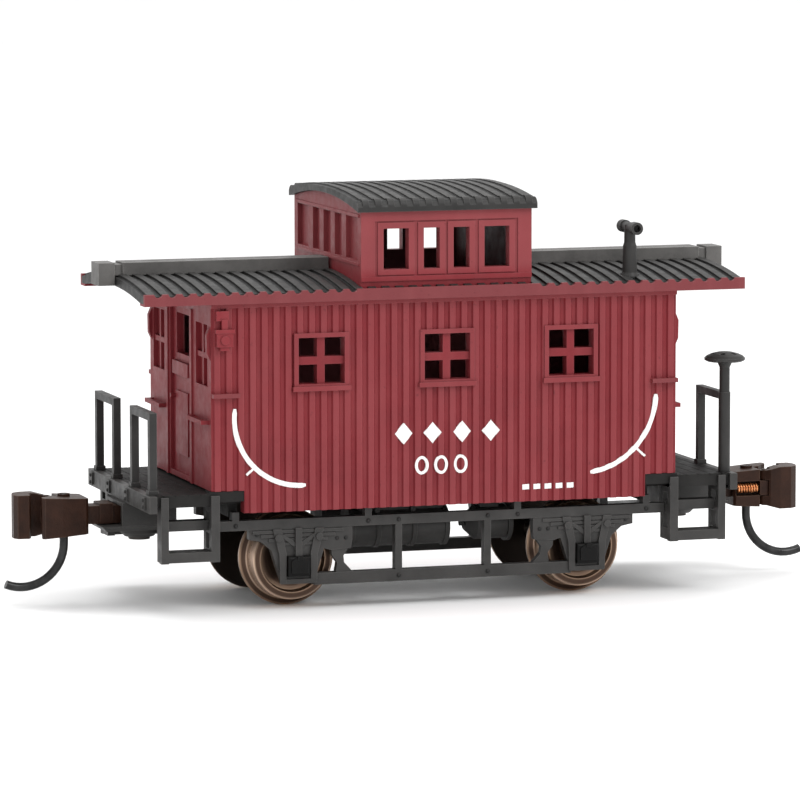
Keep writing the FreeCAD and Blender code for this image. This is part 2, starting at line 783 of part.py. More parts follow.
# ---- side frames and wheelsets ---------------------------------------------
def pedestal_outline():
    """Casting around one axle, seen from the side, with the axle at x = 0."""
    return [(-3.3, 4.95), (-3.3, 4.25), (-2.5, 4.1), (-1.8, 3.5), (-1.3, 1.95), (-1.05, 1.25),
            (1.05, 1.25), (1.3, 1.95), (1.8, 3.5), (2.3, 3.35), (3.65, 3.45), (3.75, 4.0), (3.75, 4.95)]


def hanger_outline():
    """Brake hanger between the casting and the tie bar."""
    return [(2.3, 3.6), (3.6, 3.6), (3.15, 2.95), (3.2, 2.5),
            (3.85, 1.8), (2.6, 1.8), (2.72, 2.5), (2.35, 3.0)]


def pedestal():
    """One axle's casting on the near side with its leaf spring; the axle at x = 0."""
    outer = -side_frame_y
    pieces = [plate(pedestal_outline(), side_frame_thickness - 0.1, "xz", outer + 0.1),
              plate(hanger_outline(), 0.5, "xz", outer + 0.15)]
    for side in (-1, 1):
        leg = [(side * 1.15, 4.9), (side * 1.75, 4.9), (side * 1.32, 3.2), (side * 1.25, 1.3),
               (side * 0.85, 1.3), (side * 0.82, 3.2)]
        pieces.append(plate(leg, 0.3, "xz", outer - 0.12))
        link = [(side * 1.3, 4.7), (side * 1.1, 4.35), (side * 0.1, 3.55), (side * 0.1, 3.95)]
        pieces.append(plate(link, 0.25, "xz", outer - 0.08))
        pieces.append(round_bar(0.24, (side * 1.4, outer - 0.28, 4.35), (side * 1.4, outer + 0.2, 4.35)))
    pieces.append(box((-0.22, 0.22), (outer - 0.2, outer + 0.2), (3.1, 4.95)))
    pieces.append(box((-1.2, 1.2), (outer - 0.1, outer + 0.2), (1.25, 1.55)))
    for leaf in range(leaf_count):
        reach = leaf_reach - leaf_step * leaf
        low = leaf_top_z - leaf_pitch * leaf
        pieces.append(box((-reach, reach), (outer, outer + 0.2), (low, low + leaf_thickness)))
    casting = fuse(pieces)
    casting.translate(V(-wheelbase / 2, 0, 0))
    return casting


def side_frame():
    """The near side frame: bars, posts and the two pedestals with their journal bores."""
    inner = -side_frame_y + side_frame_thickness
    bar_y = (-side_frame_y + 0.05, inner)
    tie_reach = wheelbase / 2 - 1.1
    pieces = [box((-frame_reach, frame_reach), bar_y, side_bar),
              box((-tie_reach, tie_reach), bar_y, tie_bar)]
    for x in (-frame_post_x, frame_post_x):
        post_x = (x - frame_post_half, x + frame_post_half)
        pieces.append(box(post_x, bar_y, (tie_bar[0] + root, side_bar[1] - root)))
    for end in (-1, 1):
        for x in transom_x:
            lug = (end * x - frame_post_half, end * x + frame_post_half)
            pieces.append(box(lug, bar_y, (side_bar[0], skirt_z - gap)))
    whole = fuse(pieces + [pedestal(), across_x(pedestal())])
    bores = [round_bar(journal_radius + running_clearance, (x, inner + 0.1, tread_radius),
                       (x, inner - journal_depth, tread_radius)) for x in (-wheelbase / 2, wheelbase / 2)]
    return cut(whole, bores)


def journal_box(end, side):
    """The lidded grease box outside one pedestal."""
    y = side * (side_frame_y - root)
    front = side * (side_frame_y + journal_box_depth)
    body = box((-journal_box_half, journal_box_half), (y, front), journal_box_z)
    body = body.makeFillet(journal_box_round, [edge for edge in body.Edges
                                               if abs(edge.CenterOfMass.y - front) < 1e-6])
    lid = plate([(-0.55, 2.0), (0.55, 2.0), (0.6, 2.75), (0.3, 3.0), (-0.3, 3.0), (-0.6, 2.75)],
                side * 0.16, "xz", front - side * 0.02)
    whole = fuse([body, lid, box((-0.2, 0.2), (front, front + side * 0.2), (2.85, 3.1))])
    whole.translate(V(end * wheelbase / 2, 0, 0))
    return whole


def wheel(side):
    """One wheel with flange, tread, dished plate and hub, on the y axis."""
    back = back_to_back / 2
    face = back + wheel_width
    flange = tread_radius + flange_height
    profile = [(axle_radius, back), (flange - 0.15, back), (flange, back + 0.15), (flange, back + 0.35),
               (tread_radius + 0.08, back + flange_thickness), (tread_radius, face - 0.12),
               (tread_radius - 0.12, face), (2.2, face), (2.1, face - 0.4), (1.25, face - 0.5),
               (1.1, face - 0.1), (axle_radius, face - 0.1)]
    corners = [V(r, y, 0) for r, y in profile]
    solid = Part.Face(Part.makePolygon(corners + corners[:1])).revolve(V(0, 0, 0), V(0, 1, 0), 360)
    return solid if side > 0 else across_y(solid)


def axle():
    half = back_to_back / 2 + wheel_width - root
    tip = side_frame_y - side_frame_thickness + journal_depth - journal_end_gap
    pieces = [round_bar(axle_radius, (0, -half, 0), (0, half, 0)),
              round_bar(journal_radius, (0, -tip, 0), (0, tip, 0)),
              round_bar(axle_boss_radius, (0, -axle_boss_half, 0), (0, axle_boss_half, 0))]
    return fuse(pieces)


def at_axle(shape, end):
    placed = shape.copy()
    placed.translate(V(end * wheelbase / 2, 0, tread_radius))
    return placed


# ---- fittings below the floor ----------------------------------------------
def reservoir(side):
    """Air reservoir with end flanges, hung below the floor."""
    y = side * tank_y
    tank = round_bar(tank_radius, (tank_x[0], y, tank_z), (tank_x[1], y, tank_z))
    bands = [round_bar(tank_radius + root, (x, y, tank_z), (x + tank_band, y, tank_z)) for x in tank_bands_x]
    straps = [box((x, x + tank_band), (y - tank_strap_half, y + tank_strap_half),
                  (tank_z + tank_band, floor_bottom)) for x in tank_bands_x[1:3]]
    web = box(tank_web_x, (y - tank_web_half, y + tank_web_half), (tank_z + tank_radius / 2, floor_bottom))
    return fuse([tank] + bands + straps + [web])


def brake_cylinder():
    """Brake cylinder with its push rod, hung below the floor."""
    y, z = cylinder_place
    front, back = cylinder_x
    barrel = round_bar(cylinder_radius, (front, y, z), (back, y, z))
    nose = Part.makeCone(cylinder_radius, cylinder_nose[0], cylinder_nose[1], V(front, y, z), V(-1, 0, 0))
    rod = round_bar(push_rod_radius, (front - 1.0, y, z), (front - 0.2, y, z))
    lip = round_bar(cylinder_radius + cylinder_lip[1], (back - cylinder_lip[0], y, z), (back, y, z))
    hanger = box(cylinder_hanger, (y - 0.5, y + 0.5), (z + cylinder_radius - 0.3, floor_bottom))
    return fuse([barrel, nose, rod, lip, hanger])


# ---- couplers --------------------------------------------------------------
# Built for the +X end with heights from the rail; the -X end is a half turn.
def pivot_bore(radius, low, high):
    return round_bar(radius, (coupler_pivot_x, 0, low), (coupler_pivot_x, 0, high))


def coupler_box():
    """Pocket below the platform that holds the coupler shank."""
    half = shank_height / 2 + pocket_gap
    sill_half = sill_half_width + 0.05
    outer = box((coupler_box_back, coupler_box_front), (-coupler_box_y, coupler_box_y),
                (coupler_z - half, floor_bottom - gap / 2))
    clear_sill = box((0, pocket_back), (-sill_half, sill_half),
                     (floor_bottom - sill_drop - 0.05, floor_bottom))
    clear_beam = box((platform_half_length - 0.05, beyond), (-beyond, beyond),
                     (end_beam_bottom - gap, floor_top))
    pocket = box((pocket_back, beyond), (-pocket_half_width, pocket_half_width),
                 (coupler_z - half - root, coupler_z + half))
    return cut(outer, [clear_sill, clear_beam, pocket, pivot_bore(screw_radius, 0, screw_tip_z)])


def lower_edges(shape, level):
    return [edge for edge in shape.Edges if abs(edge.CenterOfMass.z - level) < 1e-6]


def lid_top():
    return coupler_z - shank_height / 2 - lid_gap


def coupler_box_cover():
    """Lid that closes the pocket from below, with a round boss at the pivot."""
    top = lid_top()
    lid = box((coupler_box_back, coupler_mouth_x), (-coupler_box_y, coupler_box_y), (top - coupler_lid, top))
    lid = lid.makeChamfer(lid_chamfer, lower_edges(lid, top - coupler_lid))
    boss = pivot_bore(boss_radius, top - boss_height, top - coupler_lid / 2)
    boss = boss.makeChamfer(boss_chamfer, lower_edges(boss, top - boss_height))
    return fuse([lid, boss]).cut(pivot_bore(screw_radius, 0, beyond))


def coupler_screw():
    """Screw through the cover that is the coupler's pivot."""
    low = lid_top() - boss_height
    bottom = low - screw_head_height
    head = pivot_bore(screw_head_radius, bottom, low)
    shaft = pivot_bore(screw_radius, low - root, screw_tip_z)
    slot = box((coupler_pivot_x - 1, coupler_pivot_x + 1), (-0.1, 0.1), (0, bottom + screw_slot_depth))
    return fuse([head, shaft]).cut(slot)


def flared(outline, x_start, x_full, x_end, low_height, full_height):
    """An outline seen from above whose height grows from the back to the front."""
    low, full = low_height / 2, full_height / 2
    side = [(x_start, coupler_z - low), (x_full, coupler_z - full), (x_end, coupler_z - full),
            (x_end, coupler_z + full), (x_full, coupler_z + full), (x_start, coupler_z + low)]
    return plate(outline, 6, "xy", coupler_z - 3).common(plate(side, 8, "xz", -4))


def coupler_head():
    """Shank, head and guard arm of the coupler in one moulding."""
    px, py = knuckle_pivot
    shank_z = (coupler_z - shank_height / 2, coupler_z + shank_height / 2)
    eye = pivot_bore(shank_eye_radius, shank_z[0], shank_z[1])
    shank = box((coupler_pivot_x, spring_x[0]), (-shank_half_width, shank_half_width), shank_z)
    collar_y = shank_half_width + root
    collar = box(collar_x, (-collar_y, collar_y), (shank_z[0], shank_z[1] + collar_lip))
    outline = [(22.75, -1.2), (22.9, -1.42), (24.62, -1.42), (24.62, 0.05), (25.1, 0.15), (25.55, 0.72),
               (25.88, 0.95), (25.95, 1.5), (25.8, 1.68), (24.6, 1.62), (22.95, 1.35), (22.75, 1.15)]
    head = flared(outline, 22.7, 25.9, 26.2, 2.35, head_height)
    boss = round_bar(trip_boss_radius, (trip_x, 0, coupler_z + shank_height),
                     (trip_x, 0, coupler_z + trip_boss_height))
    tongue_z = (coupler_z - tongue_height / 2, coupler_z + tongue_height / 2)
    tongue = [round_bar(knuckle_eye, (px, py, tongue_z[0]), (px, py, tongue_z[1])),
              box((24.3, px), (py - knuckle_eye, py + knuckle_eye), tongue_z)]
    whole = fuse([eye, shank, collar, head, boss] + tongue)
    spring_slot = box((spring_x[0] - 0.05, spring_x[1] + 0.05), (-2, spring_y + spring_radius + 0.03),
                      (coupler_z - spring_slot_half, coupler_z + spring_slot_half))
    bores = [pivot_bore(screw_radius + running_clearance, 0, beyond), spring_slot,
             round_bar(pin_radius, (px, py, 0), (px, py, beyond)),
             round_bar(trip_wire / 2, (trip_x, 0, 0), (trip_x, 0, beyond))]
    return cut(whole, bores)


def knuckle():
    """The swinging claw; its two ears turn on the knuckle pin above and below the tongue."""
    px, py = knuckle_pivot
    outline = [(px - 0.3, py - 0.36), (px + 0.15, py - 0.7), (26.0, -1.78), (26.8, -1.72), (27.3, -1.35),
               (27.52, -0.7), (27.55, 0.0), (27.35, 0.45), (26.6, 0.5), (26.42, 0.2), (26.5, -0.3),
               (26.25, -0.6), (px + 0.3, py + 0.4)]
    claw = flared(outline, px - 0.2, 25.95, 28.0, 2 * ear_half_height, claw_height)
    ear_z = (coupler_z - ear_half_height, coupler_z + ear_half_height)
    ears = round_bar(knuckle_eye, (px, py, ear_z[0]), (px, py, ear_z[1]))
    slot_half = tongue_height / 2 + running_clearance
    slot_z = (coupler_z - slot_half, coupler_z + slot_half)
    slot = box((px - 1, px + 0.05), (-3, 1), slot_z)
    pocket = round_bar(knuckle_eye + running_clearance, (px, py, slot_z[0]), (px, py, slot_z[1]))
    hole = round_bar(pin_radius + 2 * gap, (px, py, 0), (px, py, beyond))
    return cut(fuse([claw, ears]), [slot, pocket, hole])


def knuckle_pin():
    px, py = knuckle_pivot
    reach = ear_half_height + pin_head
    return round_bar(pin_radius, (px, py, coupler_z - reach), (px, py, coupler_z + reach))


def trip_pin():
    """Bent steel wire below the head that a magnet between the rails can move."""
    centre = V(trip_x + trip_bend, 0, trip_top)
    sweep = math.radians(trip_sweep)

    def on_bend(angle):
        return centre + V(trip_bend * math.cos(angle), 0, trip_bend * math.sin(angle))

    top = V(trip_x, 0, coupler_z + trip_head)
    path = Part.Wire([Part.makeLine(top, on_bend(math.pi)),
                      Part.Arc(on_bend(math.pi), on_bend((math.pi + sweep) / 2), on_bend(sweep)).toShape()])
    ring = Part.Wire([Part.makeCircle(trip_wire / 2, top, V(0, 0, -1))])
    return path.makePipeShell([ring], True, False)


def coupler_spring():
    """Close-wound spring seen in the slot of the head, as its outer shape."""
    return round_bar(spring_radius, (spring_x[0], spring_y, coupler_z), (spring_x[1], spring_y, coupler_z))


# ---- marker lamps ----------------------------------------------------------
def marker_lamp():
    """Lamp on its bracket at the -X corner of the near side."""
    y = -body_width / 2 - board_depth
    left, right = lamp_x
    middle = (left + right) / 2
    body = box((left + root, right - root), (y - lamp_depth, y), lamp_body_z)
    roof_cap = box((left, right), (y - lamp_depth - 0.05, y), (lamp_body_z[1] - 0.05, lamp_body_z[1] + 0.2))
    chimney = box((left + 0.45, right - 0.45), (y - 0.4, y), (lamp_body_z[1] + root, lamp_chimney_top))
    upper_bracket = box((left + root, right - 0.35), (y - 0.32, y),
                        (lamp_chimney_top - root, lamp_bracket_top))
    lens = round_bar(lamp_lens_radius, (middle, y - lamp_depth - root, lamp_lens_z),
                     (middle, y - 0.4, lamp_lens_z))
    bracket = box((middle - 0.3, middle + 0.3), (y - 0.35, y),
                  (lamp_body_z[0] - 0.25, lamp_body_z[0] + 0.05))
    return fuse([body, roof_cap, chimney, upper_bracket, lens, bracket])


# ---- all pieces ------------------------------------------------------------
def write_all():
    os.makedirs("parts", exist_ok=True)
    write("body_shell", body_shell())
    write("roof", roof())
    write("cupola_shell", cupola_shell())
    write("cupola_roof", cupola_roof())
    write("smokestack", smokestack())
    write("underframe", underframe())
    write("ballast_weight", ballast_weight())
    write("brake_staff", brake_staff())
    write("brake_wheel", brake_wheel())
    write("brake_cylinder", brake_cylinder())
    write("air_reservoir_near", reservoir(-1))
    write("air_reservoir_far", reservoir(1))
    write("side_frame_near", side_frame())
    write("side_frame_far", across_y(side_frame()))
    for end, sign in (("left", -1), ("right", 1)):
        flip = turned if sign < 0 else (lambda shape: shape)
        mirrored = across_x if sign > 0 else (lambda shape: shape)
        write("running_board_" + end, mirrored(running_board()))
        write("end_beam_" + end, mirrored(end_beam()))
        for side, back in (("near", -1), ("far", 1)):
            place = across_y if back > 0 else (lambda shape: shape)
            posts = {"right_near": rail_posts_y[:1], "right_far": short_rail_posts_y}
            railing = end_railing(posts.get(end + "_" + side, rail_posts_y))
            write("railing_" + end + "_" + side, place(mirrored(railing)))
            depth = step_shallow if (end == "left") == (side == "near") else step_depth
            write("step_" + end + "_" + side, place(mirrored(step_unit(depth))))
            write("journal_box_" + end + "_" + side, journal_box(sign, back))
            write("wheel_" + end + "_" + side, at_axle(wheel(back), sign))
        write("axle_" + end, at_axle(axle(), sign))
        write("coupler_box_" + end, flip(coupler_box()))
        write("coupler_cover_" + end, flip(coupler_box_cover()))
        write("coupler_screw_" + end, flip(coupler_screw()))
        write("coupler_" + end, flip(coupler_head()))
        write("knuckle_" + end, flip(knuckle()))
        write("knuckle_pin_" + end, flip(knuckle_pin()))
        write("trip_pin_" + end, flip(trip_pin()))
        write("coupler_spring_" + end, flip(coupler_spring()))
    write("marker_lamp_left", marker_lamp())
    write("marker_lamp_right", turned(marker_lamp()))


write_all()
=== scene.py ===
"""Looks for the four-wheel model caboose: materials, fine detail, floor, light and camera."""
import math

import bmesh
import bpy
from mathutils import Matrix, Vector


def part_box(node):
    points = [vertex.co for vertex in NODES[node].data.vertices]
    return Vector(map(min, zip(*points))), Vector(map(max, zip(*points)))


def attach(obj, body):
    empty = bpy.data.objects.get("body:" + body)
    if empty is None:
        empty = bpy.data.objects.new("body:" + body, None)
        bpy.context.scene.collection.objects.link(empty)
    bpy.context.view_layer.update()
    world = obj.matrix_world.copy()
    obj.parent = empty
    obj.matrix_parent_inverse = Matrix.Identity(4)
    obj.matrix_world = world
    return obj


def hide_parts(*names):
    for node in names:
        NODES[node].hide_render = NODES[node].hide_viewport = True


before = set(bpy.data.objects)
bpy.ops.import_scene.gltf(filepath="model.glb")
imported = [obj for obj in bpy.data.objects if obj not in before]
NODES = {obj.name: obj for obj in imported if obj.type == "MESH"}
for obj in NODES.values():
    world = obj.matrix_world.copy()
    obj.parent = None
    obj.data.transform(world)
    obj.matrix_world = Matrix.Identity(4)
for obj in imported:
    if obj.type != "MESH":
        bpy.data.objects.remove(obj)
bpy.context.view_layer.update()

MM = 0.001
ENDS = (("left", -1), ("right", 1))
SIDES = (("near", -1), ("far", 1))

# ---- sizes of the car, in metres ----------------------------------------------
rail_top = 0.55 * MM
half_wheelbase = 10.05 * MM
axle_height = 2.7 * MM
wheel_ring_reach = 4.0 * MM
wheel_back_from, wheel_back_to = 3.95 * MM, 3.85 * MM
half_body_y = 7.6 * MM
body_hollow = (15.4 * MM, 6.85 * MM)
cupola_hollow = (5.25 * MM, 6.93 * MM)
no_hollow = (0.0, 0.0)
eave_from, eave_to = 7.98 * MM, 8.04 * MM
cupola_lit_from, cupola_lit_to = 21.9 * MM, 22.6 * MM
board_pitch = 0.806 * MM
board_foot_half = 0.28 * MM
board_face_half = 0.19 * MM
board_depth = 0.14 * MM
roof_rib_pitch = 0.943 * MM
roof_rib_half = 0.25 * MM
cupola_rib_pitch = 0.868 * MM
cupola_rib_half = 0.22 * MM
rib_edge_out, rib_edge_in = 0.06 * MM, 0.02 * MM

# ---- printing: the face follows the grooves by ink_sink of their depth ----------
ink_lift = 0.012 * MM
ink_thickness = 0.03 * MM
ink_sink = 0.45
curve_width = 0.33 * MM
tick_width_share = 0.85
stroke_end_taper = 0.55
arc_steps = 28
ring_steps = 24
weld_reach = 0.001 * MM
cut_reach = 0.0001 * MM
# The stripes: start, middle and end of the arc, then the tick's two ends, each as
# millimetres along the car and above the rail.
curve_places = (
    ((-14.53, 13.04), (-13.39, 9.32), (-9.72, 7.86), ((-13.34, 9.04), (-13.76, 8.66))),
    ((14.68, 13.01), (13.28, 9.56), (10.03, 7.94), ((13.34, 9.38), (13.92, 8.87))))
lozenge_places, lozenge_height = (-3.0, -1.0, 1.05, 3.05), 11.0
lozenge_half = (0.62, 0.72)
ring_places, ring_height = (-1.75, -0.4, 0.95), 8.85
ring_half, ring_line = (0.48, 0.62), 0.2
dash_count, dash_start, dash_pitch, dash_length = 5, 5.25, 0.78, 0.5
dash_low, dash_high = 6.95, 7.3

# ---- metalwork: bolt places in millimetres, heights above the rail --------------
coil_turns, coil_steps, coil_wire = 8, 22, 0.075 * MM
round_sides = 10
# The domed head's rings, as shares of its radius: how wide, and how far out.
bolt_profile = ((1.0, -0.2), (1.0, 0.25), (0.8, 0.55), (0.4, 0.75))
frame_bolt_out, frame_bolt_radius = 6.95, 0.15
frame_bolts_x, frame_bolts_height = (3.1, 5.2, 14.3), 5.22
low_bolt = (3.1, 1.49)
pedestal_bolt_out, pedestal_bolt_radius = 6.9, 0.13
pedestal_bolts = ((-2.8, 4.55), (2.7, 4.15), (3.3, 4.15))
beam_face_x, beam_bolt_radius = 20.54, 0.13
beam_bolts_y, beam_bolts_height = (-6.86, -2.34, 2.34, 6.86), (6.72, 7.18)

# ---- light and camera -------------------------------------------------------------
sky_strength = 1.08
light_aim = Vector((0, 0, 12 * MM))
# name, place in millimetres, power in watts, width in millimetres
lights = (("key", (110, -170, 190), 0.28, 110), ("top", (-20, 40, 230), 0.22, 150))
floor_reach = 3.0
sensor_width = 36.0
focal_length = 246.492
camera_distance = 368.51 * MM
camera_turn = (-17.593, 6.486, -0.053)
camera_aim = Vector((-0.805, 0.0, 12.317)) * MM + Vector((0.0, 0.0, rail_top))
clip_near, clip_far = 0.01, 20.0


# ---- node helpers -------------------------------------------------------------
class Shader:
    """A node material built up a step at a time."""

    def __init__(self, name):
        self.material = bpy.data.materials.new(name)
        self.material.use_nodes = True
        self.tree = self.material.node_tree
        self.nodes = self.tree.nodes
        self.body = self.nodes["Principled BSDF"]
        self.place = self.nodes.new("ShaderNodeTexCoord").outputs["Object"]

    def link(self, source, target):
        self.tree.links.new(source, target)

    def stretched(self, scale):
        """Object coordinates multiplied by a number for each axis."""
        node = self.nodes.new("ShaderNodeMapping")
        node.inputs["Scale"].default_value = scale
        self.link(self.place, node.inputs["Vector"])
        return node.outputs["Vector"]

    def noise(self, scale, detail=3.0, roughness=0.55, vector=None, distortion=0.0):
        node = self.nodes.new("ShaderNodeTexNoise")
        node.inputs["Scale"].default_value = scale
        node.inputs["Detail"].default_value = detail
        node.inputs["Roughness"].default_value = roughness
        node.inputs["Distortion"].default_value = distortion
        self.link(vector or self.place, node.inputs["Vector"])
        return node.outputs["Fac"]

    def ramp(self, value, stops):
        """Maps a value to grey levels or colours; stops are (position, colour or level)."""
        node = self.nodes.new("ShaderNodeValToRGB")
        ramp = node.color_ramp
        while len(ramp.elements) < len(stops):
            ramp.elements.new(0.5)
        for element, (position, colour) in zip(ramp.elements, stops):
            level = colour if isinstance(colour, tuple) else (colour, colour, colour)
            element.position = position
            element.color = (*level, 1.0)
        self.link(value, node.inputs["Fac"])
        return node.outputs["Color"]

    def math(self, operation, first, second=None):
        node = self.nodes.new("ShaderNodeMath")
        node.operation = operation
        for socket, value in zip(node.inputs, (first, second)):
            if value is None:
                continue
            if isinstance(value, (int, float)):
                socket.default_value = value
            else:
                self.link(value, socket)
        return node.outputs["Value"]

    def mix(self, amount, first, second, blend="MIX"):
        node = self.nodes.new("ShaderNodeMix")
        node.data_type = "RGBA"
        node.blend_type = blend
        for name, value in (("Factor", amount), ("A", first), ("B", second)):
            socket = node.inputs[name]
            if isinstance(value, (int, float)):
                socket.default_value = value
            elif isinstance(value, tuple):
                socket.default_value = (*value, 1.0)
            else:
                self.link(value, socket)
        return node.outputs["Result"]

    def towards(self, mask, share, first, second):
        """Moves a colour by a share towards a second one where the mask is 1."""
        return self.mix(self.math("MULTIPLY", mask, share), first, second)

    def axis(self, letter):
        node = self.nodes.new("ShaderNodeSeparateXYZ")
        self.link(self.place, node.inputs["Vector"])
        return node.outputs[letter]

    def facing(self):
        return self.nodes.new("ShaderNodeNewGeometry").outputs["Normal"]

    def normal_axis(self, letter):
        node = self.nodes.new("ShaderNodeSeparateXYZ")
        self.link(self.facing(), node.inputs["Vector"])
        return node.outputs[letter]

    def rounded(self, reach):
        """The surface direction with every edge softened over a short reach."""
        node = self.nodes.new("ShaderNodeBevel")
        node.samples = 4
        node.inputs["Radius"].default_value = reach
        return node.outputs["Normal"]

    def edges(self, reach=0.07 * MM):
        """1 along outer edges and corners, 0 on flat faces and in inner corners."""
        agree = self.nodes.new("ShaderNodeVectorMath")
        agree.operation = "DOT_PRODUCT"
        self.link(self.rounded(reach), agree.inputs[0])
        self.link(self.facing(), agree.inputs[1])
        turn = between(self, agree.outputs["Value"], 0.97, 0.80)
        open_sky = self.nodes.new("ShaderNodeAmbientOcclusion")
        open_sky.samples = 4
        open_sky.inputs["Distance"].default_value = 3 * reach
        outer = between(self, open_sky.outputs["AO"], 0.80, 0.97)
        return self.math("MULTIPLY", turn, outer)

    def bump(self, height, distance, strength=1.0):
        node = self.nodes.new("ShaderNodeBump")
        node.inputs["Strength"].default_value = strength
        node.inputs["Distance"].default_value = distance
        self.link(height, node.inputs["Height"])
        self.link(self.rounded(0.05 * MM), node.inputs["Normal"])
        self.link(node.outputs["Normal"], self.body.inputs["Normal"])

    def finish(self, colour, roughness, metallic=0.0, specular=0.5):
        self.link(colour, self.body.inputs["Base Color"])
        if isinstance(roughness, (int, float)):
            self.body.inputs["Roughness"].default_value = roughness
        else:
            self.link(roughness, self.body.inputs["Roughness"])
        self.body.inputs["Metallic"].default_value = metallic
        self.body.inputs["Specular IOR Level"].default_value = specular
        return self.material


def grey(level):
    return (level, level, level)


def tint(level, hue):
    return tuple(level * part for part in hue)


# ---- materials ------------------------------------------------------------------
def inside_box(shader, reach_x, reach_y):
    """1 where a point lies nearer the middle than both reaches, 0 elsewhere."""
    near_x = shader.math("LESS_THAN", shader.math("ABSOLUTE", shader.axis("X")), reach_x)
    near_y = shader.math("LESS_THAN", shader.math("ABSOLUTE", shader.axis("Y")), reach_y)
    return shader.math("MULTIPLY", near_x, near_y)


def between(shader, value, low, high):
    """0 at the low value, 1 at the high one, straight between."""
    node = shader.nodes.new("ShaderNodeMapRange")
    node.inputs["From Min"].default_value = low
    node.inputs["From Max"].default_value = high
    shader.link(value, node.inputs["Value"])
    return node.outputs["Result"]


def on_ribs(shader, pitch, half):
    """1 on the ribs that cross the roof at an even pitch, 0 in the grooves between them."""
    phase = shader.math("FRACT", shader.math("DIVIDE", shader.axis("X"), pitch))
    off_middle = shader.math("ABSOLUTE", shader.math("SUBTRACT", phase, 0.5))
    away = shader.math("MULTIPLY", off_middle, pitch)
    return between(shader, away, half + rib_edge_out, half - rib_edge_in)


def moulded_red(name, hollow, inside_shade=(0.2, 0.05, 0.055), boards=False):
    """Matte dark red plastic; inside the hollow, a colour of its own stands in as painted shade.

    Grooves get painted shade, board faces painted highlight; without boards, painted light pales
    the top.
    """
    shader = Shader(name)
    deep, main, warm = (0.155, 0.012, 0.017), (0.192, 0.016, 0.022), (0.215, 0.023, 0.029)
    groove_shade_red, face_highlight_red = (0.10, 0.006, 0.009), (0.205, 0.038, 0.043)
    eave_red, upper_lit_red = (0.150, 0.030, 0.034), (0.235, 0.058, 0.062)
    streak_red, speck_red = (0.27, 0.065, 0.070), (0.06, 0.006, 0.008)
    edge_wear_highlight_red = (0.33, 0.10, 0.105)
    colour = shader.ramp(shader.noise(260.0, 4.0, 0.6), ((0.30, deep), (0.52, main), (0.78, warm)))
    if boards:
        out = shader.math("ABSOLUTE", shader.axis("Y"))
        # Painted shade: the grooves between the boards are darker.
        proud = between(shader, out, half_body_y + 0.02 * MM, half_body_y + board_depth)
        colour = shader.mix(proud, shader.mix(0.18, colour, groove_shade_red), colour)
        # Painted highlight: the outer faces of the boards are paler.
        faces = between(shader, out, half_body_y + 0.8 * board_depth, half_body_y + board_depth)
        colour = shader.towards(faces, 0.5, colour, face_highlight_red)
        eave = between(shader, out, eave_from, eave_to)
        colour = shader.towards(eave, 0.8, colour, eave_red)
    else:
        # Painted light: above this height the plastic turns paler, as if lit from above.
        high = between(shader, shader.axis("Z"), cupola_lit_from, cupola_lit_to)
        colour = shader.towards(high, 0.45, colour, upper_lit_red)
    streak = shader.noise(500.0, 3.0, 0.55, shader.stretched((1.6, 1.6, 0.22)))
    colour = shader.mix(shader.ramp(streak, ((0.45, 0.0), (0.8, 0.25))), colour, streak_red)
    speck = shader.ramp(shader.noise(3800.0, 2.0), ((0.68, 0.0), (0.76, 0.4)))
    colour = shader.mix(speck, colour, speck_red)
    # Paler edges: partly wear, partly painted highlight.
    colour = shader.towards(shader.edges(), 0.4, colour, edge_wear_highlight_red)
    # Painted shade: the inside of the hollow, seen through the windows, gets a colour of its own.
    colour = shader.mix(inside_box(shader, *hollow), colour, inside_shade)
    roughness = shader.ramp(shader.noise(1400.0), ((0.3, 0.45), (0.7, 0.62)))
    shader.bump(shader.noise(9000.0, 2.0, 0.6), 0.02 * MM, 0.6)
    return shader.finish(colour, roughness, specular=0.25)


def moulded_black(name, level, dust, shine=(0.42, 0.6), specular=0.3, ribs=None):
    """Matte black plastic with a little pale dust on upward faces and edges; edges also get
    painted highlight.
    """
    shader = Shader(name)
    blotch = shader.noise(420.0, 4.0, 0.6)
    warm = (1.0, 0.96, 0.92)
    dark, pale = tint(level * 0.75, warm), tint(level * 1.35, warm)
    colour = shader.ramp(blotch, ((0.3, dark), (0.7, pale)))
    upward = shader.ramp(shader.normal_axis("Z"), ((0.35, 0.0), (1.0, 0.55)))
    patches = shader.ramp(shader.noise(900.0), ((0.35, 0.4), (0.7, 1.0)))
    patchy = shader.mix(1.0, upward, patches, "MULTIPLY")
    colour = shader.mix(patchy, colour, tint(dust, warm))
    # Paler edges: dust and painted highlight.
    colour = shader.towards(shader.edges(), 0.7, colour, tint(dust * 2.4, warm))
    # Painted shade: with ribs, the grooves between them are darker on upward faces.
    if ribs:
        groove_shade = shader.math("SUBTRACT", 1.0, on_ribs(shader, *ribs))
        flat_top = between(shader, shader.normal_axis("Z"), 0.75, 0.85)
        colour = shader.towards(groove_shade, flat_top, colour, tint(level * 0.35, warm))
    roughness = shader.ramp(shader.noise(1600.0), ((0.3, shine[0]), (0.7, shine[1])))
    shader.bump(shader.noise(8000.0, 2.0), 0.02 * MM, 0.6)
    return shader.finish(colour, roughness, specular=specular)


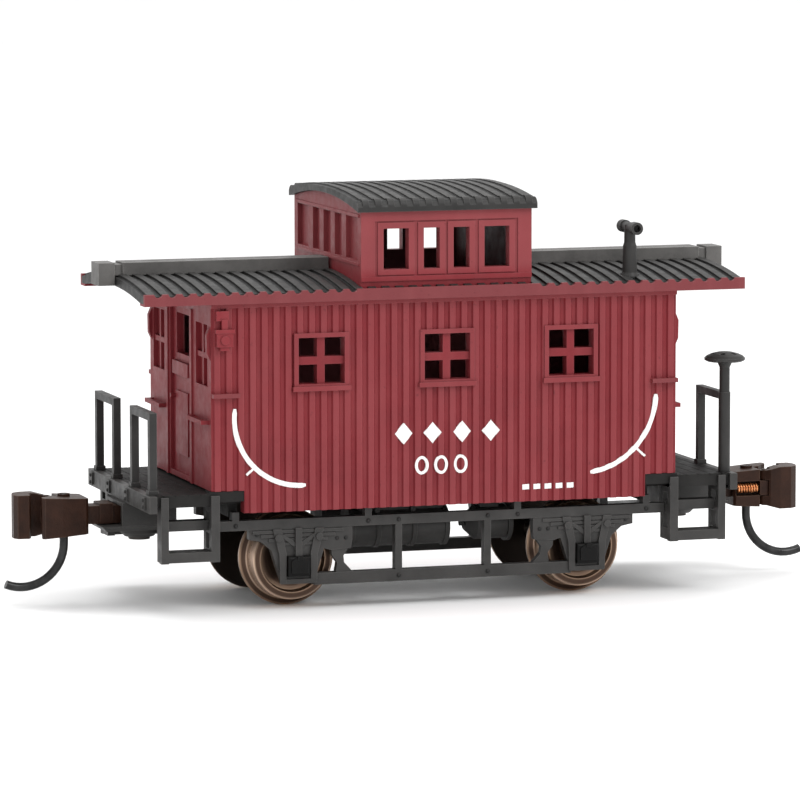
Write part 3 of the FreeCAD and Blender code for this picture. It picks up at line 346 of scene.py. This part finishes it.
def coupler_plastic(name):
    """Dark brown acetal with paler edges, partly wear and partly painted highlight."""
    shader = Shader(name)
    blotch = shader.noise(700.0, 4.0, 0.6)
    deep, main = (0.015, 0.0055, 0.003), (0.034, 0.0135, 0.0075)
    dusty, worn = (0.055, 0.029, 0.019), (0.105, 0.062, 0.043)
    colour = shader.ramp(blotch, ((0.3, deep), (0.7, main)))
    upward = shader.ramp(shader.normal_axis("Z"), ((0.4, 0.0), (1.0, 0.5)))
    colour = shader.mix(upward, colour, dusty)
    # Paler edges: partly wear, partly painted highlight.
    colour = shader.towards(shader.edges(0.1 * MM), 0.8, colour, worn)
    shader.bump(shader.noise(7000.0), 0.03 * MM, 0.7)
    return shader.finish(colour, shader.ramp(blotch, ((0.3, 0.36), (0.7, 0.5))), specular=0.15)


def wheel_metal(name, axle_x):
    """Turned metal: rim and hub rings bright, partly painted highlight; dark between; painted
    shade behind.
    """
    shader = Shader(name)
    dx = shader.math("SUBTRACT", shader.axis("X"), axle_x)
    dz = shader.math("SUBTRACT", shader.axis("Z"), rail_top + axle_height)
    squares = shader.math("ADD", shader.math("MULTIPLY", dx, dx), shader.math("MULTIPLY", dz, dz))
    radius = shader.math("DIVIDE", shader.math("SQRT", squares), wheel_ring_reach)
    rings = shader.nodes.new("ShaderNodeCombineXYZ")
    shader.link(shader.math("MULTIPLY", radius, 0.1), rings.inputs["X"])
    shader.link(shader.axis("Y"), rings.inputs["Y"])
    marks = shader.noise(900.0, 3.0, 0.6, rings.outputs["Vector"])
    dark, bronze, bright = (0.060, 0.036, 0.025), (0.34, 0.23, 0.16), (0.66, 0.48, 0.36)
    mark_brown, back_shade_brown = (0.11, 0.065, 0.045), (0.022, 0.016, 0.013)
    # The bright ring at the tread is partly painted highlight.
    bands = ((0.44, dark), (0.53, bronze), (0.555, bronze), (0.575, dark), (0.635, dark),
             (0.665, bright), (0.69, bright), (0.72, dark), (0.77, dark), (0.80, bronze))
    colour = shader.ramp(radius, bands)
    colour = shader.mix(shader.ramp(marks, ((0.4, 0.0), (0.75, 0.4))), colour, mark_brown)
    # Painted shade: the back faces of the wheels, towards the middle, are darkened.
    out = shader.math("ABSOLUTE", shader.axis("Y"))
    back = between(shader, out, wheel_back_from, wheel_back_to)
    colour = shader.mix(back, colour, back_shade_brown)
    shader.bump(marks, 0.02 * MM, 0.5)
    return shader.finish(colour, shader.ramp(marks, ((0.3, 0.26), (0.7, 0.42))), metallic=0.85)


def plain_metal(name, dark, bright, rough=0.35, metallic=0.85):
    """Blackened or dull steel with slight mottling; paler edges, partly wear and partly painted
    highlight.
    """
    shader = Shader(name)
    mottle = shader.noise(1500.0, 4.0)
    colour = shader.ramp(mottle, ((0.3, dark), (0.7, bright)))
    # Paler edges: partly wear, partly painted highlight.
    colour = shader.mix(shader.edges(), colour, tuple(min(1.0, c * 1.6) for c in bright))
    shader.bump(shader.noise(6000.0), 0.02 * MM, 0.5)
    roughness = shader.ramp(mottle, ((0.3, rough * 0.85), (0.7, rough * 1.2)))
    return shader.finish(colour, roughness, metallic=metallic)


def white_ink(name):
    """Thin off-white printing, slightly worn."""
    shader = Shader(name)
    worn = shader.ramp(shader.noise(2500.0, 4.0, 0.65), ((0.25, 0.0), (0.38, 1.0)))
    colour = shader.mix(worn, (0.60, 0.42, 0.42), (0.80, 0.79, 0.78))
    shader.bump(shader.noise(7000.0), 0.01 * MM, 0.4)
    return shader.finish(colour, shader.ramp(worn, ((0.0, 0.65), (1.0, 0.5))), specular=0.3)


def paint_everything():
    """Gives each CAD node its material, by what it is made of."""
    roof_ribs = (roof_rib_pitch, roof_rib_half)
    cupola_ribs = (cupola_rib_pitch, cupola_rib_half)
    body_red = moulded_red("body_red", body_hollow, boards=True)
    # The cupola's inside is painted a darker red, as painted shade.
    cupola_red = moulded_red("cupola_red", cupola_hollow, (0.09, 0.015, 0.018))
    lamp_red = moulded_red("lamp_red", no_hollow)
    roof_black = moulded_black("roof_black", 0.014, 0.042, ribs=roof_ribs)
    cupola_black = moulded_black("cupola_roof_black", 0.016, 0.050, ribs=cupola_ribs)
    walk_black = moulded_black("walk_black", 0.088, 0.14)
    frame_black = moulded_black("frame_black", 0.031, 0.052)
    deck_black = moulded_black("deck_black", 0.016, 0.014, shine=(0.55, 0.7), specular=0.12)
    box_black = moulded_black("journal_black", 0.003, 0.012, specular=0.15)
    fitting_black = moulded_black("fitting_black", 0.021, 0.060, specular=0.3)
    brown = coupler_plastic("coupler_brown")
    steel = plain_metal("dull_steel", (0.16, 0.14, 0.12), (0.28, 0.25, 0.22))
    dark_steel = plain_metal("screw_steel", (0.03, 0.027, 0.025), (0.06, 0.055, 0.05), 0.45)
    weight = plain_metal("weight_steel", (0.05, 0.045, 0.043), (0.09, 0.085, 0.08), 0.55)
    wire = plain_metal("trip_wire_steel", (0.018, 0.018, 0.018), (0.045, 0.045, 0.045), 0.3)
    wheels = {end: wheel_metal("wheel_metal_" + end, sign * half_wheelbase) for end, sign in ENDS}
    # The first start that fits a node's name decides; the empty one takes what is left.
    by_start = (("body_shell", body_red), ("marker_lamp", lamp_red),
                ("cupola_shell", cupola_red), ("cupola_roof", cupola_black),
                ("roof", roof_black), ("running_board", walk_black),
                ("smokestack", fitting_black), ("railing", fitting_black),
                ("brake_staff", fitting_black), ("brake_wheel", fitting_black),
                ("journal_box", box_black), ("ballast", weight),
                ("axle", steel), ("coupler_screw", dark_steel), ("trip_pin", wire),
                ("coupler_box", frame_black), ("coupler_cover", frame_black),
                ("underframe", deck_black), ("coupler_", brown), ("knuckle", brown),
                ("wheel_left", wheels["left"]), ("wheel_right", wheels["right"]),
                ("", frame_black))
    for name, node in NODES.items():
        material = next(material for start, material in by_start if name.startswith(start))
        node.data.materials.clear()
        node.data.materials.append(material)


# ---- mesh pieces -----------------------------------------------------------------
def new_piece(name, mesh, body, material, smooth=False):
    piece = bpy.data.objects.new(name, mesh)
    bpy.context.scene.collection.objects.link(piece)
    mesh.materials.append(material)
    for polygon in mesh.polygons:
        polygon.use_smooth = smooth
    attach(piece, body)
    return piece


def side_surface(x):
    """Distance of the boarded side's outer face from the centre line at x."""
    away = abs((x / board_pitch) % 1.0 - 0.5) * board_pitch
    slope = (board_foot_half - away) / (board_foot_half - board_face_half)
    return half_body_y + board_depth * min(1.0, max(0.0, slope))


def ink_surface(x):
    """Distance of the printing's face from the centre line; it sinks part way into grooves."""
    full = half_body_y + board_depth
    return full - ink_sink * (full - side_surface(x)) + ink_lift


def closed_mesh(shape, name):
    """The mesh of a finished shape, with its faces turned outwards."""
    bmesh.ops.recalc_face_normals(shape, faces=shape.faces)
    mesh = bpy.data.meshes.new(name)
    shape.to_mesh(mesh)
    shape.free()
    return mesh


def board_lines(low, high):
    """Where the board profile bends, between two places along the side."""
    lines = []
    board = math.floor(low / board_pitch) - 1
    while board * board_pitch < high:
        middle = (board + 0.5) * board_pitch
        for half in (-board_foot_half, -board_face_half, board_face_half, board_foot_half):
            lines.append(middle + half)
        board += 1
    return [x for x in lines if low < x < high]


def ink_mesh(name, outlines, side):
    """Printed shapes laid over one side's boards; outlines are convex lists of (x, z)."""
    shape = bmesh.new()
    for outline in outlines:
        shape.faces.new([shape.verts.new((x, 0.0, z)) for x, z in outline])
    bmesh.ops.remove_doubles(shape, verts=shape.verts, dist=weld_reach)
    places = [x for outline in outlines for x, _ in outline]
    for x in board_lines(min(places), max(places)):
        whole = list(shape.verts) + list(shape.edges) + list(shape.faces)
        bmesh.ops.bisect_plane(shape, geom=whole, plane_co=(x, 0, 0), plane_no=(1, 0, 0),
                               dist=cut_reach)
    for vertex in shape.verts:
        vertex.co.y = side * ink_surface(vertex.co.x)
    back = bmesh.ops.extrude_face_region(shape, geom=list(shape.faces))
    for item in back["geom"]:
        if isinstance(item, bmesh.types.BMVert):
            item.co.y = side * (side_surface(item.co.x) - ink_thickness)
    return closed_mesh(shape, name)


def stroke(points, width):
    """Quads of a painted line along (x, z) points, joined without gaps."""
    rows = []
    for i, (x, z) in enumerate(points):
        before = points[max(i - 1, 0)]
        after = points[min(i + 1, len(points) - 1)]
        along = Vector((after[0] - before[0], after[1] - before[1])).normalized()
        taper = 1.0 if 0 < i < len(points) - 1 else stroke_end_taper
        half = Vector((-along[1], along[0])) * width / 2 * taper
        rows.append(((x - half[0], z - half[1]), (x + half[0], z + half[1])))
    return [(a[0], b[0], b[1], a[1]) for a, b in zip(rows, rows[1:])]


def arc_through(start, middle, end):
    """Points of the circle arc through three points."""
    (ax, az), (bx, bz), (cx, cz) = start, middle, end
    twice = 2 * (ax * (bz - cz) + bx * (cz - az) + cx * (az - bz))
    aa, bb, cc = [x * x + z * z for x, z in (start, middle, end)]
    ox = (aa * (bz - cz) + bb * (cz - az) + cc * (az - bz)) / twice
    oz = (aa * (cx - bx) + bb * (ax - cx) + cc * (bx - ax)) / twice
    radius = math.hypot(ax - ox, az - oz)
    first, last = math.atan2(az - oz, ax - ox), math.atan2(cz - oz, cx - ox)
    turn = (last - first + math.pi) % (2 * math.pi) - math.pi
    angles = [first + turn * i / arc_steps for i in range(arc_steps + 1)]
    return [(ox + radius * math.cos(t), oz + radius * math.sin(t)) for t in angles]


def on_side(x, height):
    """A point of the side in metres from millimetres along the car and above the rail."""
    return (x * MM, height * MM + rail_top)


def clearance_curves():
    """The two bowed stripes below the windows, each with a short tick outwards."""
    outlines = []
    for start, middle, end, tick in curve_places:
        arc = arc_through(on_side(*start), on_side(*middle), on_side(*end))
        outlines += stroke(arc, curve_width)
        outlines += stroke([on_side(*place) for place in tick], curve_width * tick_width_share)
    return outlines


def lozenge(x, height, half_x, half_z):
    corners = ((x - half_x, height), (x, height - half_z),
               (x + half_x, height), (x, height + half_z))
    return [on_side(*corner) for corner in corners]


def ring_outlines(x, height, half_x, half_z, line):
    """An oval ring as short quads."""
    quads = []
    for i in range(ring_steps):
        quad = []
        for angle, inset in ((i, 0), (i + 1, 0), (i + 1, line), (i, line)):
            turn = 2 * math.pi * angle / ring_steps
            quad.append(on_side(x + (half_x - inset) * math.cos(turn),
                                height + (half_z - inset) * math.sin(turn)))
        quads.append(quad)
    return quads


def plain_marks():
    """Plain lozenges, rings and a dashed line in the places a car carries its marks."""
    outlines = [lozenge(x, lozenge_height, *lozenge_half) for x in lozenge_places]
    for x in ring_places:
        outlines += ring_outlines(x, ring_height, *ring_half, ring_line)
    for i in range(dash_count):
        left = dash_start + i * dash_pitch
        right = left + dash_length
        corners = ((left, dash_low), (right, dash_low), (right, dash_high), (left, dash_high))
        outlines.append([on_side(*corner) for corner in corners])
    return outlines


def print_sides():
    """The printing of both sides; the far one is the near one turned half way round."""
    ink = white_ink("white_ink")
    for word, side in SIDES:
        for name, outlines in (("curves_", clearance_curves()), ("marks_", plain_marks())):
            if side > 0:
                outlines = [[(-x, z) for x, z in outline] for outline in outlines]
            new_piece(name + word, ink_mesh(name + word, outlines, side), "car", ink)


# ---- small metalwork ---------------------------------------------------------------
def ring_of(shape, centre, radius, first, second):
    """Points round a centre, in the plane of two unit directions."""
    angles = [2 * math.pi * k / round_sides for k in range(round_sides)]
    return [shape.verts.new(centre + radius * (math.cos(a) * first + math.sin(a) * second))
            for a in angles]


def skin(shape, rings):
    """Joins each ring to the next one with quads."""
    for one, two in zip(rings, rings[1:]):
        for k in range(round_sides):
            after = (k + 1) % round_sides
            shape.faces.new((one[k], one[after], two[after], two[k]))


def tube_along(shape, path, radius):
    """A closed tube along a dense path."""
    rings = []
    up = Vector((0, 0, 1))
    for i, point in enumerate(path):
        along = (path[min(i + 1, len(path) - 1)] - path[max(i - 1, 0)]).normalized()
        first = along.cross(up if abs(along.z) < 0.9 else Vector((1, 0, 0))).normalized()
        second = along.cross(first)
        rings.append(ring_of(shape, point, radius, first, second))
    skin(shape, rings)
    shape.faces.new(rings[0])
    shape.faces.new(list(reversed(rings[-1])))


def coil_springs():
    """The close-wound knuckle spring in the slot of each coupler head."""
    bronze = plain_metal("spring_bronze", (0.55, 0.20, 0.075), (0.85, 0.36, 0.15), 0.28)
    count = coil_turns * coil_steps
    for end, _ in ENDS:
        low, high = (Vector(corner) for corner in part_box("coupler_spring_" + end))
        middle = (low + high) / 2
        reach = (high.y - low.y) / 2 - coil_wire
        path = []
        for i in range(count + 1):
            turn = 2 * math.pi * i / coil_steps
            x = low.x + coil_wire + (high.x - low.x - 2 * coil_wire) * i / count
            y = middle.y + reach * math.cos(turn)
            z = middle.z + reach * math.sin(turn)
            path.append(Vector((x, y, z)))
        shape = bmesh.new()
        tube_along(shape, path, coil_wire)
        mesh = closed_mesh(shape, "spring_coil_" + end)
        coil = new_piece("spring_coil_" + end, mesh, "coupler_body_" + end,
                         bronze, True)
        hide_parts("coupler_spring_" + end)


def bolt_head(shape, place, outward, radius):
    """A domed head lying on a face at place, standing out along outward."""
    across = Vector((0, 0, 1)) if abs(outward.z) < 0.5 else Vector((1, 0, 0))
    level = outward.cross(across)
    rings = []
    for reach, rise in bolt_profile:
        centre = place + outward * radius * rise
        rings.append(ring_of(shape, centre, radius * reach, across, level))
    skin(shape, rings)
    shape.faces.new(rings[-1])
    shape.faces.new(list(reversed(rings[0])))


def above_rail(x, y, height):
    """A point in metres from millimetres along, across and above the rail."""
    return Vector((x * MM, y * MM, height * MM + rail_top))


def frame_bolts(shape, side):
    """Bolt heads of one side frame."""
    outward = Vector((0, side, 0))
    for _, end in ENDS:
        high = [(x, frame_bolts_height) for x in frame_bolts_x]
        for x, height in high + [low_bolt]:
            place = above_rail(end * x, side * frame_bolt_out, height)
            bolt_head(shape, place, outward, frame_bolt_radius * MM)
        for offset, height in pedestal_bolts:
            x = end * (half_wheelbase / MM - offset)
            place = above_rail(x, side * pedestal_bolt_out, height)
            bolt_head(shape, place, outward, pedestal_bolt_radius * MM)


def beam_bolts(shape, sign):
    """Bolt heads on one end beam's strap pads."""
    outward = Vector((sign, 0, 0))
    for y in beam_bolts_y:
        for height in beam_bolts_height:
            place = above_rail(sign * beam_face_x, y, height)
            bolt_head(shape, place, outward, beam_bolt_radius * MM)


def bolts():
    """Bolt heads on the side frames and on the end beams' strap pads."""
    black = moulded_black("bolt_black", 0.012, 0.045)
    groups = (("frame_bolts_", SIDES, frame_bolts), ("beam_bolts_", ENDS, beam_bolts))
    for start, places, fill in groups:
        for word, sign in places:
            shape = bmesh.new()
            fill(shape, sign)
            mesh = closed_mesh(shape, start + word)
            new_piece(start + word, mesh, "car", black, True)


# ---- light, floor and camera -------------------------------------------------------
def world_and_light():
    """An even white studio with two soft lamps aimed at the middle of the car."""
    world = bpy.data.worlds.new("studio")
    world.use_nodes = True
    background = world.node_tree.nodes["Background"]
    background.inputs["Color"].default_value = (1.0, 1.0, 1.0, 1.0)
    background.inputs["Strength"].default_value = sky_strength
    bpy.context.scene.world = world
    bpy.context.scene.view_settings.view_transform = "Standard"
    for name, place, power, size in lights:
        lamp = bpy.data.lights.new(name, "AREA")
        lamp.energy = power
        lamp.size = size * MM
        holder = bpy.data.objects.new(name, lamp)
        holder.location = Vector(place) * MM
        aim = light_aim - holder.location
        holder.rotation_euler = aim.to_track_quat("-Z", "Y").to_euler()
        bpy.context.scene.collection.objects.link(holder)


def floor():
    """A wide plain pale sheet at the height of the wheel flanges."""
    mesh = bpy.data.meshes.new("floor")
    shares = ((-1, -1), (1, -1), (1, 1), (-1, 1))
    corners = [(x * floor_reach, y * floor_reach, 0) for x, y in shares]
    mesh.from_pydata(corners, [], [(0, 1, 2, 3)])
    shader = Shader("floor_paper")
    colour = shader.ramp(shader.noise(60.0), ((0.3, grey(0.925)), (0.7, grey(0.935))))
    mesh.materials.append(shader.finish(colour, 0.8, specular=0.2))
    sheet = bpy.data.objects.new("floor", mesh)
    bpy.context.scene.collection.objects.link(sheet)


def camera():
    """A long lens, a little above the car and towards its left end."""
    lens = bpy.data.cameras.new("view")
    lens.sensor_width = sensor_width
    lens.lens = focal_length
    holder = bpy.data.objects.new("view", lens)
    azimuth, elevation, roll = [math.radians(angle) for angle in camera_turn]
    level = math.cos(elevation)
    back = Vector((math.sin(azimuth) * level, -math.cos(azimuth) * level, math.sin(elevation)))
    holder.location = camera_aim + back * camera_distance
    facing = (-back).to_track_quat("-Z", "Y").to_matrix().to_4x4()
    holder.rotation_euler = (facing @ Matrix.Rotation(roll, 4, "Z")).to_euler()
    lens.clip_start = clip_near
    lens.clip_end = clip_far
    bpy.context.scene.collection.objects.link(holder)
    bpy.context.scene.camera = holder


def finish_sizes():
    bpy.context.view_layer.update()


def main():
    paint_everything()
    print_sides()
    coil_springs()
    bolts()
    world_and_light()
    floor()
    camera()
    finish_sizes()


main()
